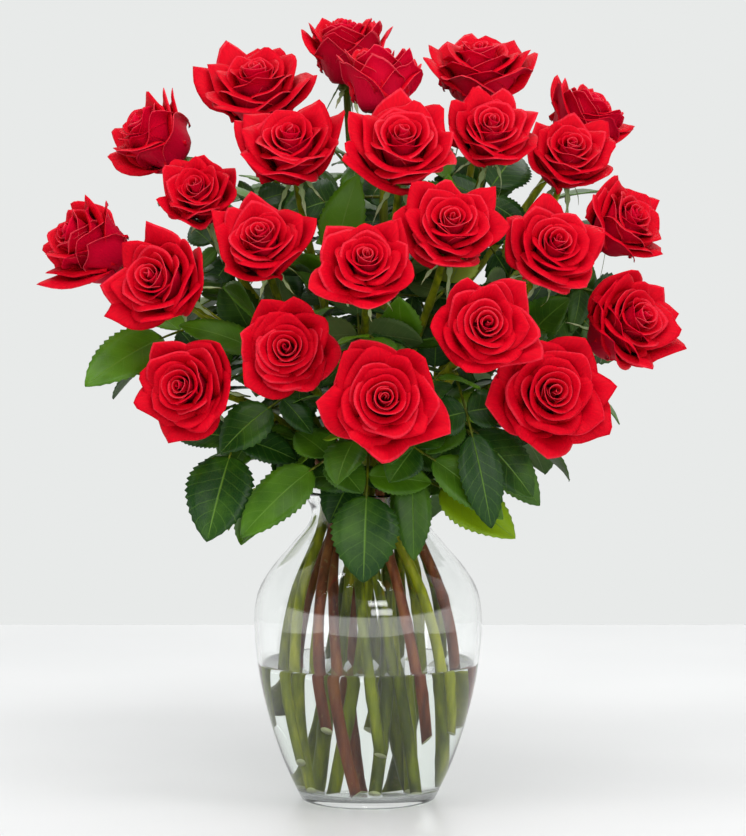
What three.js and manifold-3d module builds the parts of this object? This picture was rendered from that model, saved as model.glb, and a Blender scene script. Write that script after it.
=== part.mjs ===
// Two dozen red roses with their leaves, standing in water in a clear glass vase.
// Millimetres, +Z up. The origin is the centre of the vase's flat foot, and the bouquet faces -Y.

import * as THREE from 'three';
import { mergeVertices } from 'three/addons/utils/BufferGeometryUtils.js';
import Module from 'manifold-3d';

const wasm = await Module();
wasm.setup();

const { Vector3 } = THREE;
const degree = Math.PI / 180;
const clearance = 0.3;

// The glass, turned round +Z: radius and height along its outside, from the foot to the rim.
const vase = {
  wall: 3,
  floor: 7,
  facets: 24,
  outline: [
    [41, 0], [46.5, 4], [57, 27], [66, 54], [73, 84], [76.5, 116],
    [74.5, 139], [66, 155.5], [51.5, 173], [39.5, 188], [38.5, 198], [45, 210],
  ],
};
const waterLevel = 94;

// Each rose: the middle of its bloom, the way it faces (yaw from the front towards +X, pitch above
// the horizon), its width, how far its outer petals open, and its turn about its own axis.
const roses = [
  { at: [-16, 85, 503], yaw: -15, pitch: 80, width: 66, open: 0.8, turn: 10 },
  { at: [8, 15, 481], yaw: 20, pitch: 96, width: 62, open: 0.7, turn: 40 },
  { at: [75, 60, 491], yaw: 5, pitch: 72, width: 76, open: 1.1, turn: 75 },
  { at: [-75, 45, 477], yaw: -15, pitch: 58, width: 78, open: 1.1, turn: 20 },
  { at: [-50, -40, 439], yaw: -8, pitch: 48, width: 76, open: 1, turn: 55 },
  { at: [22, -60, 439], yaw: 4, pitch: 46, width: 80, open: 1.1, turn: 5 },
  { at: [81, -19, 449], yaw: 8, pitch: 42, width: 70, open: 1, turn: 30 },
  { at: [148, 85, 458], yaw: 75, pitch: 58, width: 70, open: 0.9, turn: 62 },
  { at: [135, 17, 434], yaw: 14, pitch: 44, width: 70, open: 1, turn: 12 },
  { at: [-143, 35, 443], yaw: -62, pitch: 40, width: 66, open: 0.85, turn: 35 },
  { at: [-112, -33, 409], yaw: -12, pitch: 36, width: 66, open: 0.8, turn: 50 },
  { at: [-68, -96, 379], yaw: -10, pitch: 40, width: 74, open: 0.9, turn: 25 },
  { at: [-181, -25, 373], yaw: -62, pitch: 30, width: 68, open: 0.9, turn: 70 },
  { at: [-134, -73, 352], yaw: -30, pitch: 22, width: 76, open: 1, turn: 15 },
  { at: [-1, -149, 367], yaw: 0, pitch: 34, width: 74, open: 1, turn: 45 },
  { at: [53, -106, 389], yaw: 8, pitch: 36, width: 76, open: 1.05, turn: 0 },
  { at: [120, -79, 374], yaw: 18, pitch: 32, width: 76, open: 1.05, turn: 33 },
  { at: [170, -23, 390], yaw: 48, pitch: 34, width: 72, open: 1, turn: 58 },
  { at: [74, -141, 327], yaw: 8, pitch: 18, width: 74, open: 1.05, turn: 22 },
  { at: [168, -50, 323], yaw: 40, pitch: 22, width: 74, open: 1, turn: 66 },
  { at: [-51, -122, 311], yaw: -6, pitch: 16, width: 74, open: 1.05, turn: 8 },
  { at: [-116, -100, 286], yaw: -24, pitch: 8, width: 78, open: 1, turn: 38 },
  { at: [10, -158, 282], yaw: 3, pitch: 12, width: 84, open: 1.1, turn: 28 },
  { at: [117, -97, 281], yaw: 16, pitch: 14, width: 84, open: 1.1, turn: 52 },
];
const bloom = { height: 0.62, middle: 0.52, pressed: 0.9, pressSoft: 5 };

// The stems: thick at the cut foot and thinner under the bloom. They are held as a florist's
// spiral, so each one passes the vase's neck and leans on round to where it stands.
const stem = {
  points: 48,
  footRadius: 3.9,
  headRadius: 2.5,
  footApart: 10.6,
  headApart: 8.8,
  sides: 5,
  spans: 9,
  cut: 2.6,
  neckHeight: 192,
  neckRadius: 30,
  headStraight: 2,
  rounds: 260,
};

// The ways that they stand, taken in turn round the bunch: out on the sloping wall of the glass,
// at the edge of its floor, on the wall again, and crossed over in the middle of the floor.
const footings = [
  { neck: 1, turn: 24, wallFrom: 42, wallTo: 58, belly: 61, bellyHeight: 128 },
  { neck: 0.8, turn: 55, circle: 37, belly: 44, bellyHeight: 100 },
  { neck: 1, turn: 24, wallFrom: 56, wallTo: 72, belly: 61, bellyHeight: 128 },
  { neck: 0.45, turn: -75, circle: 26, belly: 20, bellyHeight: 100 },
];
const hipLength = 11;
const sepalCount = 5;

// A leaf is a stalk with three toothed leaflets, all in one thin sheet. Its outline's right half
// runs from the stem to the tip as shares of the leaf's half width and of its length.
const leaf = {
  thick: 0.9,
  length: 98,
  halfWidth: 43,
  arch: 0.1,
  fold: 0.16,
  outline: [
    [0.026, 0], [0.025, 0.25], [0.42, 0.165], [0.82, 0.2], [1, 0.31], [0.66, 0.41],
    [0.028, 0.45], [0.38, 0.52], [0.52, 0.64], [0.42, 0.7], [0.4, 0.81], [0.16, 0.92],
  ],
  most: 44,
};

// Leaves that show from the front, by the places of their tip and of their last leaflet's base.
const shownLeaves = [
  { base: [-82, -84, 232], tip: [-104, -98, 187], wide: 42 },
  { base: [-42, -84, 218], tip: [-82, -104, 192], wide: 32 },
  { base: [8, -82, 204], tip: [-3, -96, 160], wide: 42 },
  { base: [30, -66, 200], tip: [30, -78, 172], wide: 24 },
  { base: [48, -64, 205], tip: [96, -74, 186], wide: 34 },
  { base: [56, -88, 222], tip: [88, -96, 202], wide: 28 },
  { base: [80, -50, 225], tip: [114, -50, 205], wide: 30 },
  { base: [110, -66, 246], tip: [120, -78, 196], wide: 36 },
  { base: [-138, -62, 304], tip: [-184, -68, 286], wide: 42 },
  { base: [-88, -60, 280], tip: [-76, -66, 240], wide: 32 },
  { base: [-62, -78, 258], tip: [-96, -86, 244], wide: 30 },
  { base: [-30, -70, 214], tip: [-30, -92, 250], wide: 30 },
  { base: [56, -84, 228], tip: [80, -104, 196], wide: 32 },
  { base: [66, -60, 222], tip: [108, -78, 214], wide: 32 },
  { base: [26, -74, 214], tip: [46, -98, 234], wide: 30 },
  { base: [112, -34, 300], tip: [130, -40, 340], wide: 32 },
  { base: [-84, -50, 300], tip: [-122, -62, 326], wide: 32 },
  { base: [112, 0, 408], tip: [142, 6, 396], wide: 28 },
  { base: [-10, -20, 388], tip: [-8, -30, 420], wide: 30 },
  { base: [-60, -50, 380], tip: [-88, -50, 398], wide: 28 },
  { base: [60, -70, 330], tip: [84, -84, 352], wide: 28 },
  { base: [-84, -70, 320], tip: [-92, -84, 350], wide: 28 },
];

// A random number from 0 to 1 by a fixed rule, so that each run gives the same bouquet.
function seededRandom(seed) {
  let state = seed >>> 0;
  return () => {
    state = (Math.imul(state, 1664525) + 1013904223) >>> 0;
    return state / 4294967296;
  };
}

const mix = (a, b, t) => a + (b - a) * t;
const clamp01 = (t) => Math.min(1, Math.max(0, t));

// A closed geometry as a solid for joining and cutting.
function solidOf(geometry) {
  const bare = geometry.clone();
  bare.deleteAttribute('normal');
  bare.deleteAttribute('uv');
  const merged = mergeVertices(bare, 1e-4);
  return new wasm.Manifold(new wasm.Mesh({
    numProp: 3,
    vertProperties: new Float32Array(merged.attributes.position.array),
    triVerts: new Uint32Array(merged.index.array),
  }));
}

// Closed geometries joined into one solid.
function joined(geometries) {
  return geometries.map(solidOf).reduce((all, next) => all.add(next));
}

function meshOf(solid, name, material) {
  const { vertProperties, triVerts } = solid.getMesh();
  const geometry = new THREE.BufferGeometry();
  geometry.setAttribute('position', new THREE.BufferAttribute(vertProperties, 3));
  geometry.setIndex(new THREE.BufferAttribute(triVerts, 1));
  geometry.computeVertexNormals();
  const mesh = new THREE.Mesh(geometry, material);
  mesh.name = name;
  return mesh;
}

// Moves every point of a geometry, which keeps it closed.
function shaped(geometry, place) {
  const position = geometry.attributes.position;
  const point = new Vector3();
  for (let i = 0; i < position.count; i += 1) {
    point.fromBufferAttribute(position, i);
    position.setXYZ(i, ...place(point.clone()).toArray());
  }
  return geometry;
}

// A thin sheet with the middle surface at(u, v): u from -1 to 1 across, v from 0 to 1 along.
function sheet(across, along, thick, at) {
  const step = 1e-3;
  return shaped(new THREE.BoxGeometry(2, 1, 1, across, along, 1), ({ x: u, y, z: side }) => {
    const v = y + 0.5;
    const alongU = at(u + step, v).sub(at(u - step, v));
    const alongV = at(u, v + step).sub(at(u, v - step));
    const normal = alongU.cross(alongV).normalize();
    return at(u, v).addScaledVector(normal, side * thick);
  });
}

// Two directions square to a bar, which turn little from one point of it to the next.
function sectionOf(tangent) {
  const right = new Vector3(0.31, 0.95, 0.07).normalize().cross(tangent).normalize();
  return { right, up: tangent.clone().cross(right) };
}

// A round bar along a list of points, with a radius at each and, at its first end, a slanted cut.
function bar(points, radii, sides, slant = 0) {
  const spans = points.length - 1;
  const tangents = points.map((p, i) => points[Math.min(i + 1, spans)].clone()
    .sub(points[Math.max(i - 1, 0)]).normalize());
  const sections = tangents.map(sectionOf);
  const unit = new THREE.CylinderGeometry(1, 1, 1, sides, spans).rotateX(Math.PI / 2);
  return shaped(unit, (p) => {
    const i = Math.round((p.z + 0.5) * spans);
    const shift = i === 0 ? slant * p.x : 0;
    return points[i].clone()
      .addScaledVector(sections[i].right, p.x * radii[i])
      .addScaledVector(sections[i].up, p.y * radii[i])
      .addScaledVector(tangents[i], shift);
  });
}

const outside = vase.outline.map(([r, z]) => new THREE.Vector2(r, z));
const rim = outside.at(-1).y;

// The radius of the vase's outside at a height.
function radiusAt(z) {
  const next = Math.max(1, outside.findIndex((p) => p.y >= z));
  const low = outside[next - 1];
  const high = outside[next];
  return mix(low.x, high.x, clamp01((z - low.y) / (high.y - low.y)));
}

const innerWall = outside.filter((p) => p.y > vase.floor).map((p) => new THREE.Vector2(p.x - vase.wall, p.y));
const innerFloor = new THREE.Vector2(43.5, vase.floor);

function vaseSolid() {
  const profile = [
    new THREE.Vector2(0, 0), ...outside,
    ...innerWall.toReversed(), innerFloor, new THREE.Vector2(0, vase.floor),
  ];
  return solidOf(new THREE.LatheGeometry(profile, vase.facets).rotateX(Math.PI / 2));
}

function waterSolid(holes) {
  const wet = innerWall.filter((p) => p.y < waterLevel)
    .map((p) => new THREE.Vector2(p.x - 0.4, p.y));
  const profile = [
    new THREE.Vector2(0, vase.floor + clearance),
    new THREE.Vector2(innerFloor.x - 0.6, vase.floor + clearance),
    ...wet,
    new THREE.Vector2(radiusAt(waterLevel) - vase.wall - 1.2, waterLevel),
    new THREE.Vector2(0, waterLevel),
  ];
  const body = solidOf(new THREE.LatheGeometry(profile, vase.facets).rotateX(Math.PI / 2));
  return holes.map(solidOf).reduce((rest, hole) => rest.subtract(hole), body);
}

// Where each bloom stands and which way it looks.
const blooms = roses.map((rose) => {
  const yaw = rose.yaw * degree;
  const pitch = rose.pitch * degree;
  const axis = new Vector3(Math.sin(yaw) * Math.cos(pitch), -Math.cos(yaw) * Math.cos(pitch), Math.sin(pitch));
  const height = rose.width * bloom.height;
  const middle = new Vector3(...rose.at);
  const base = middle.clone().addScaledVector(axis, -height * bloom.middle);
  const turned = new THREE.Quaternion().setFromUnitVectors(new Vector3(0, 0, 1), axis)
    .multiply(new THREE.Quaternion().setFromAxisAngle(new Vector3(0, 0, 1), rose.turn * degree));
  const place = new THREE.Matrix4().compose(base, turned, new Vector3(1, 1, 1));
  return { ...rose, axis, height, middle, base, turned, place, radius: rose.width / 2 };
});

// How deep a point lies inside the room that a bloom and its sepals take, and the way out.
function insideBloom(b, point) {
  const from = point.clone().sub(b.base);
  const h = from.dot(b.axis);
  const away = from.addScaledVector(b.axis, -h);
  const reach = away.length();
  if (h < -30 || h > b.height + 3) return { depth: -100, away };
  const wide = b.radius + 2;
  const room = h < 0 ? 15 : mix(15, wide, clamp01(h / (0.55 * b.height)));
  return { depth: room - reach, away: away.divideScalar(Math.max(reach, 1e-6)) };
}

// The stems' courses. They start as a spiral and are then pushed apart, off the blooms and off
// the glass, while each one is kept smooth.
function courses() {
  const order = blooms.map((b, i) => ({ i, turn: Math.atan2(b.base.y + 25, b.base.x) }))
    .sort((a, b) => a.turn - b.turn);
  const lines = [];
  order.forEach(({ i, turn }, rank) => {
    const b = blooms[i];
    const even = -Math.PI + (2 * Math.PI * (rank + 0.5)) / order.length;
    const angle = mix(turn, even, 0.75);
    const spread = clamp01(Math.hypot(b.base.x, b.base.y) / 120);
    const footing = footings[rank % footings.length];
    const atNeck = stem.neckRadius * mix(0.5, 1, spread) * footing.neck;
    const footAngle = angle + footing.turn * degree;
    const onWall = mix(footing.wallFrom, footing.wallTo, (rank * 0.37) % 1);
    const footHeight = footing.circle ? vase.floor + 5 : onWall;
    const atFoot = footing.circle ?? radiusAt(onWall) - vase.wall - stem.footRadius - 2;
    const midAngle = (angle + footAngle) / 2;
    const neck = new Vector3(atNeck * Math.cos(angle), atNeck * Math.sin(angle), stem.neckHeight);
    const foot = new Vector3(atFoot * Math.cos(footAngle), atFoot * Math.sin(footAngle), footHeight);
    const belly = new Vector3(footing.belly * Math.cos(midAngle), footing.belly * Math.sin(midAngle),
      footing.bellyHeight);
    const head = b.base.clone().addScaledVector(b.axis, -hipLength + 3);
    const length = head.distanceTo(neck);
    const upwards = neck.clone().sub(belly).normalize().lerp(new Vector3(0, 0, 1), 0.5);
    const curve = new THREE.CurvePath();
    curve.add(new THREE.QuadraticBezierCurve3(foot, belly, neck));
    curve.add(new THREE.CubicBezierCurve3(neck, neck.clone().addScaledVector(upwards, 0.4 * length),
      head.clone().addScaledVector(b.axis, -0.4 * length), head));
    lines[i] = Array.from({ length: stem.points }, (_, k) => curve.getPoint(k / (stem.points - 1)));
  });
  return lines;
}

const radiusOfStem = (k) => mix(stem.footRadius, stem.headRadius, k / (stem.points - 1));

// Where a point of a course would lie if the course bent evenly through its neighbours.
function smoothPlace(line, i) {
  if (i === 0) return line[1].clone().multiplyScalar(2).sub(line[2]);
  if (i === 1) return line[0].clone().add(line[2]).multiplyScalar(0.5);
  return line[i - 1].clone().add(line[i + 1]).multiplyScalar(4)
    .sub(line[i - 2]).sub(line[i + 2]).divideScalar(6);
}

function settle(lines) {
  const last = stem.points - 1;
  const held = last - stem.headStraight;
  for (let round = 0; round < stem.rounds; round += 1) {
    const shifts = lines.map((line) => line.map(() => new Vector3()));
    for (let a = 0; a < lines.length; a += 1) {
      for (let b = a + 1; b < lines.length; b += 1) {
        for (let i = 0; i <= last; i += 1) {
          for (let j = 0; j <= last; j += 1) {
            const dx = lines[a][i].x - lines[b][j].x;
            const dy = lines[a][i].y - lines[b][j].y;
            const dz = lines[a][i].z - lines[b][j].z;
            const gap = Math.sqrt(dx * dx + dy * dy + dz * dz);
            const apart = mix(stem.footApart, stem.headApart, (i + j) / (2 * last));
            if (gap < apart && gap > 1e-6) {
              const push = (0.45 * (apart - gap)) / gap;
              shifts[a][i].add(new Vector3(dx * push, dy * push, dz * push));
              shifts[b][j].sub(new Vector3(dx * push, dy * push, dz * push));
            }
          }
        }
      }
    }
    lines.forEach((line, a) => {
      for (let i = 0; i < held; i += 1) {
        shifts[a][i].addScaledVector(smoothPlace(line, i).sub(line[i]), 0.3);
        blooms.forEach((b, j) => {
          if (j === a) return;
          const { depth, away } = insideBloom(b, line[i]);
          if (depth > -5) shifts[a][i].addScaledVector(away, 0.3 * (depth + 5));
        });
      }
      for (let i = 0; i < held; i += 1) {
        const p = line[i];
        const z = p.z;
        p.add(shifts[a][i]);
        if (i === 0) p.z = z;
        if (p.z < rim + 6) {
          const most = radiusAt(Math.min(p.z, rim)) - vase.wall - radiusOfStem(i) - 3;
          const reach = Math.hypot(p.x, p.y);
          if (reach > most) {
            p.x *= most / reach;
            p.y *= most / reach;
          }
        }
      }
    });
  }
  return lines;
}

const stems = settle(courses());

// A bloom's petals give way where a neighbour's begin, so that two blooms press flat together.
function pressOf(index) {
  const b = blooms[index];
  const inverse = b.place.clone().invert();
  const walls = [];
  blooms.forEach((other, j) => {
    const gap = b.middle.distanceTo(other.middle);
    if (j === index || gap > b.radius + other.radius + 12) return;
    const normal = other.middle.clone().sub(b.middle).divideScalar(gap);
    const point = b.middle.clone().addScaledVector(normal, (gap * b.radius) / (b.radius + other.radius));
    walls.push({ point: point.applyMatrix4(inverse), normal: normal.transformDirection(inverse) });
  });
  return (p) => {
    walls.forEach(({ point, normal }) => {
      const free = point.clone().sub(p).dot(normal) - bloom.pressed;
      const soft = bloom.pressSoft;
      if (free > 4 * soft) return;
      const kept = free < -8 * soft ? 0 : soft * Math.log1p(Math.exp(free / soft));
      p.addScaledVector(normal, free - kept);
    });
    return p;
  };
}

// A bloom is one body turned round its axis with a folded profile: the outside of the outer petals,
// their rim, the groove behind it, the next whorl's rim, and so on to the bud in the middle. Each
// row of the profile follows one whorl's petals, which overlap like the blades of a pinwheel.
const whorls = {
  outer: { petals: 5, offset: 0, point: 0.13, dip: 0.15, lap: 0.035 },
  second: { petals: 5, offset: 0.5, point: 0.1, dip: 0.1, lap: 0.04 },
  third: { petals: 3, offset: 0.2, point: 0.06, dip: 0.07, lap: 0.05 },
};
const sectors = 15;
const bloomRows = [
  { whorl: 'outer', r: 0, z: 0, lobe: 0 },
  { whorl: 'outer', r: 0.17, z: 0, lobe: 0 },
  { whorl: 'outer', r: 0.84, z: 0.28, lobe: 0.15 },
  { whorl: 'outer', r: 1.03, z: 0.6, lobe: 1 },
  { whorl: 'outer', r: 0.93, z: 0.68, lobe: 0.9 },
  { whorl: 'outer', r: 0.64, z: 0.42, lobe: 0.2 },
  { whorl: 'second', r: 0.73, z: 0.8, lobe: 1 },
  { whorl: 'second', r: 0.63, z: 0.84, lobe: 0.9 },
  { whorl: 'second', r: 0.42, z: 0.58, lobe: 0.2 },
  { whorl: 'third', r: 0.42, z: 0.93, lobe: 1 },
  { whorl: 'third', r: 0.29, z: 0.95, lobe: 0.9 },
  { whorl: 'third', r: 0, z: 0.74, lobe: 0 },
];

function bloomSolid(index) {
  const b = blooms[index];
  const press = pressOf(index);
  const profile = bloomRows.map(({ r }, row) => new THREE.Vector2(r === 0 ? 0 : 1, row));
  const turned = new THREE.LatheGeometry(profile, sectors).rotateX(Math.PI / 2);
  return solidOf(shaped(turned, (p) => {
    const { whorl, r, z, lobe } = bloomRows[Math.round(p.z)];
    const { petals, offset, point, dip, lap } = whorls[whorl];
    const angle = Math.atan2(p.y, p.x);
    const across = (((angle / (2 * Math.PI)) * petals + offset + 10) % 1) * 2 - 1;
    const edge = Math.abs(across);
    const wide = whorl === 'outer' ? mix(0.93, 1, clamp01((b.open - 0.7) / 0.4)) : 1;
    const high = whorl === 'outer' ? mix(1.12, 0.95, clamp01((b.open - 0.7) / 0.4)) : 1;
    const radius = b.radius * wide * (r - lobe * point * edge * edge + lobe * lap * across);
    const height = clearance + b.height * high * (z - lobe * dip * edge * edge);
    return press(new Vector3(radius * Math.cos(angle), radius * Math.sin(angle), height));
  }));
}

// The hip with its star of sepals, which hang below the bloom, in the bloom's own frame.
const calyxRows = [
  { hub: [0, -11], tip: [0, -11] },
  { hub: [2.6, -11], tip: [2.6, -11] },
  { hub: [6, -3.6], tip: [5.6, -3.6] },
  { hub: [6, -1], tip: [14, -13] },
  { hub: [5.4, 0], tip: [5.4, 0] },
  { hub: [0, 0], tip: [0, 0] },
];

function calyxGeometry(index) {
  const b = blooms[index];
  const press = pressOf(index);
  const profile = calyxRows.map(({ hub }, row) => new THREE.Vector2(hub[0] === 0 ? 0 : 1, row));
  const star = new THREE.LatheGeometry(profile, 2 * sepalCount).rotateX(Math.PI / 2);
  return shaped(star, (p) => {
    const angle = Math.atan2(p.y, p.x);
    const isTip = Math.round((angle / Math.PI) * sepalCount + 2 * sepalCount) % 2 === 0;
    const [radius, height] = calyxRows[Math.round(p.z)][isTip ? 'tip' : 'hub'];
    return press(new Vector3(radius * Math.cos(angle), radius * Math.sin(angle), height));
  }).applyMatrix4(b.place);
}

// The few points of a course that keep its shape, each one added where the bar strays furthest.
function picksOf(line) {
  const picks = [0, line.length - 1];
  const nearest = new Vector3();
  while (picks.length < stem.spans + 1) {
    let worst = { away: -1 };
    for (let s = 0; s + 1 < picks.length; s += 1) {
      const chord = new THREE.Line3(line[picks[s]], line[picks[s + 1]]);
      for (let k = picks[s] + 1; k < picks[s + 1]; k += 1) {
        const away = chord.closestPointToPoint(line[k], true, nearest).distanceTo(line[k]);
        if (away > worst.away) worst = { away, k, s };
      }
    }
    picks.splice(worst.s + 1, 0, worst.k);
  }
  return picks;
}

// How far a point inside the vase is from its floor and from its flat-sided wall.
function roomInside(p) {
  const sector = (2 * Math.PI) / vase.facets;
  const turn = Math.atan2(p.y, p.x) / sector;
  const off = (turn - Math.floor(turn) - 0.5) * sector;
  const wall = ((radiusAt(p.z) - vase.wall) * Math.cos(sector / 2)) / Math.cos(off);
  const slope = (radiusAt(p.z + 1) - radiusAt(p.z - 1)) / 2;
  return Math.min(p.z - vase.floor, (wall - Math.hypot(p.x, p.y)) / Math.hypot(1, slope));
}

// A stem as a bar, whose slanted cut rests its edge on the floor of the vase or on its wall.
function stemBar(index, grow) {
  const picks = picksOf(stems[index]);
  const points = picks.map((k) => stems[index][k].clone());
  const tangent = points[1].clone().sub(points[0]).normalize();
  const { right, up } = sectionOf(tangent);
  const edge = Array.from({ length: 20 }, (_, n) => {
    const angle = (n / 20) * 2 * Math.PI;
    return right.clone().multiplyScalar(stem.footRadius * Math.cos(angle))
      .addScaledVector(up, stem.footRadius * Math.sin(angle))
      .addScaledVector(tangent, stem.cut * Math.cos(angle));
  });
  const foot = points[0].clone();
  let [short, long] = [-12, 24];
  while (long - short > 0.01) {
    const drop = (short + long) / 2;
    foot.copy(points[0]).addScaledVector(tangent, -drop);
    const room = Math.min(...edge.map((e) => roomInside(e.clone().add(foot))));
    if (room > 0.4) short = drop;
    else long = drop;
  }
  points[0].addScaledVector(tangent, -short - 1.5 * grow);
  return bar(points, picks.map((k) => radiusOfStem(k) + grow), stem.sides, stem.cut);
}

// The leaves. Each is held by a point of its stem, the way it runs and the way its face looks, and
// it is placed only where it is clear of every stem, bloom and leaf and of the glass.
function leafPoint({ from, along, face, side, length, halfWidth }, x, t, lift = 0) {
  const across = Math.abs(x);
  const rise = leaf.arch * length * 4 * t * (1 - t) - leaf.fold * halfWidth * across * across + lift;
  return from.clone().addScaledVector(along, t * length)
    .addScaledVector(side, x * halfWidth).addScaledVector(face, rise);
}

function leafFrame(from, along, towards, length, halfWidth) {
  const face = towards.clone().addScaledVector(along, -towards.dot(along)).normalize();
  return { from, along, face, side: along.clone().cross(face), length, halfWidth };
}

const probes = leaf.outline.slice(2).flatMap(([x, t], i, all) => {
  const [nextX, nextT] = all[Math.min(i + 1, all.length - 1)];
  return [[x, t], [(x + nextX) / 2, (t + nextT) / 2], [x * 0.7, t], [x * 0.35, t]];
}).flatMap(([x, t]) => [[x, t], [-x, t]]).concat([0.1, 0.2, 0.3, 0.4, 0.5, 0.6, 0.7, 0.8, 0.9, 1].map((t) => [0, t]));

const placed = [];

function isClear(frame, owner) {
  const points = probes.map(([x, t]) => leafPoint(frame, x, t));
  const free = points.every((p, n) => {
    const t = probes[n][1];
    const reach = Math.hypot(p.x, p.y);
    if (p.z < rim + 5 && reach < radiusAt(Math.min(p.z, rim)) + 4) return false;
    if (blooms.some((b) => insideBloom(b, p).depth > -3)) return false;
    if (stems.some((line, i) => line.some((q, k) => {
      const room = radiusOfStem(k) + 4.4;
      return (i !== owner || t > 0.16) && q.distanceToSquared(p) < room * room;
    }))) return false;
    return placed.every((other) => other.points.every((q) => q.distanceToSquared(p) > 22));
  });
  if (free) placed.push({ frame, owner, points });
  return free;
}

function placeShown({ base, tip, wide }) {
  const leafBase = new Vector3(...base);
  const leafTip = new Vector3(...tip);
  const choices = [];
  stems.forEach((line, owner) => line.forEach((from, k) => {
    const along = leafTip.clone().sub(from);
    const length = along.length();
    const bend = leafBase.clone().sub(from).angleTo(leafTip.clone().sub(leafBase));
    if (from.z > rim + 4 && k < stem.points - 6 && length < 118 && bend < 1.1) {
      choices.push({ owner, from, along: along.normalize(), length, cost: bend + length / 90 });
    }
  }));
  choices.sort((a, b) => a.cost - b.cost);
  return [1, 0.85, 0.7].some((size) => choices.slice(0, 60).some(({ owner, from, along, length }) => isClear(
    leafFrame(from, along, new Vector3(0, -0.8, 0.6), length, wide * size), owner)));
}

function placeByRule(owner, slot) {
  const line = stems[owner];
  const random = seededRandom(900 + owner * 7 + slot);
  const low = line.findIndex((p) => p.z > rim + 10);
  const high = stem.points - 8;
  const starts = Array.from({ length: 6 }, (_, n) => Math.round(mix(low, high, ((n + slot * 3) % 6) / 5)));
  const lean = random() * 20 - 10;
  return [1, 0.86, 0.72, 0.58].some((size) => starts.some((k) => [0, 30, -30, 60, -60, 100, -100, 150]
    .some((offset) => [5, -25, 35, 60].some((rise) => {
      const from = line[k];
      const out = Math.atan2(from.y + 20, from.x) + (offset + lean) * degree;
      const along = new Vector3(Math.cos(out) * Math.cos(rise * degree),
        Math.sin(out) * Math.cos(rise * degree), Math.sin(rise * degree));
      const towards = new Vector3(Math.cos(out) * 0.5, Math.sin(out) * 0.5, 0.9);
      return isClear(leafFrame(from, along, towards, leaf.length * size, leaf.halfWidth * size), owner);
    }))));
}

function leafGeometry(frame) {
  const outline = [...leaf.outline, [0, 1], ...leaf.outline.map(([x, t]) => [-x, t]).toReversed()];
  const shape = new THREE.Shape(outline.map(([x, t]) => new THREE.Vector2(x, t)));
  const flat = new THREE.ExtrudeGeometry(shape, { depth: 1, bevelEnabled: false });
  return shaped(flat, (p) => leafPoint(frame, p.x, p.y, (p.z - 0.5) * leaf.thick));
}

shownLeaves.forEach(placeShown);
roses.forEach((_, i) => {
  if (!placed.some(({ owner }) => owner === i)) placeByRule(i, i % 2);
});
roses.forEach((_, i) => {
  if (placed.length < leaf.most) placeByRule(i, 1 - (i % 2));
});

const material = {
  glass: new THREE.MeshStandardMaterial({ color: 0xe8f0ef, roughness: 0.05, metalness: 0, transparent: true, opacity: 0.35 }),
  water: new THREE.MeshStandardMaterial({ color: 0xdde8e4, roughness: 0.05, metalness: 0, transparent: true, opacity: 0.3 }),
  petal: new THREE.MeshStandardMaterial({ color: 0xc8050f, roughness: 0.55, metalness: 0 }),
  green: new THREE.MeshStandardMaterial({ color: 0x2c5a1e, roughness: 0.5, metalness: 0 }),
};

const bouquet = new THREE.Group();
bouquet.add(meshOf(vaseSolid(), 'vase', material.glass));
bouquet.add(meshOf(waterSolid(roses.map((_, i) => stemBar(i, clearance))), 'water', material.water));
blooms.forEach((b, i) => {
  const number = String(i + 1).padStart(2, '0');
  const flower = new THREE.Group();
  flower.position.copy(b.base);
  flower.quaternion.copy(b.turned);
  flower.add(meshOf(bloomSolid(i), `bloom_${number}`, material.petal));
  bouquet.add(flower);
  const green = joined([stemBar(i, 0), calyxGeometry(i),
    ...placed.filter(({ owner }) => owner === i).map(({ frame }) => leafGeometry(frame))]);
  bouquet.add(meshOf(green, `stem_${number}`, material.green));
});

export default bouquet;
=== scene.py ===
import random
import time
from math import acos, atan2, comb, copysign, cos, hypot, pi, radians, sin

import bmesh
import bpy
import numpy as np
from mathutils import Matrix, Vector
from numpy.linalg import norm


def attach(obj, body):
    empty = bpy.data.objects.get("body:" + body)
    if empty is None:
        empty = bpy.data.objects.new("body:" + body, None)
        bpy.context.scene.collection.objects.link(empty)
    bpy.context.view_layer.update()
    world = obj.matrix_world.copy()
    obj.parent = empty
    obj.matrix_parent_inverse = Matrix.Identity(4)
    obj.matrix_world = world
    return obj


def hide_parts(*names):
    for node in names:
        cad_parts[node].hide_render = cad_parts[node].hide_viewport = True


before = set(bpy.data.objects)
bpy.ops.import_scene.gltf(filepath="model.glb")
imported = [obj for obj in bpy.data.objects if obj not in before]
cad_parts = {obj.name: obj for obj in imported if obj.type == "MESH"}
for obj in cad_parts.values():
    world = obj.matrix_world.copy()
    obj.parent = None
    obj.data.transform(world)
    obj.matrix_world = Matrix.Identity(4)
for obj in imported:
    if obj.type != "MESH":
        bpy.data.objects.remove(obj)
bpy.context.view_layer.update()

scene = bpy.context.scene
startTime = time.time()
mm = 0.001


def report(stage):
    print(f"[{time.time() - startTime:5.1f} s] {stage}")


def mix(a, b, t):
    return a + (b - a) * t


def smooth(t):
    t = np.clip(t, 0, 1)
    return t * t * (3 - 2 * t)


def unit(vector):
    return vector / norm(vector)


def seededRandom(seed):
    # the same fixed rule as the bouquet's solids use
    state = seed

    def draw():
        nonlocal state
        state = (state * 1664525 + 1013904223) % 4294967296
        return state / 4294967296
    return draw


def addObject(name, data, place=(0, 0, 0), aim=None):
    made = bpy.data.objects.new(name, data)
    made.location = place
    if aim:
        made.rotation_euler = (Vector(aim) - Vector(place)).to_track_quat("-Z", "Y").to_euler()
    scene.collection.objects.link(made)
    return made


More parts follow.
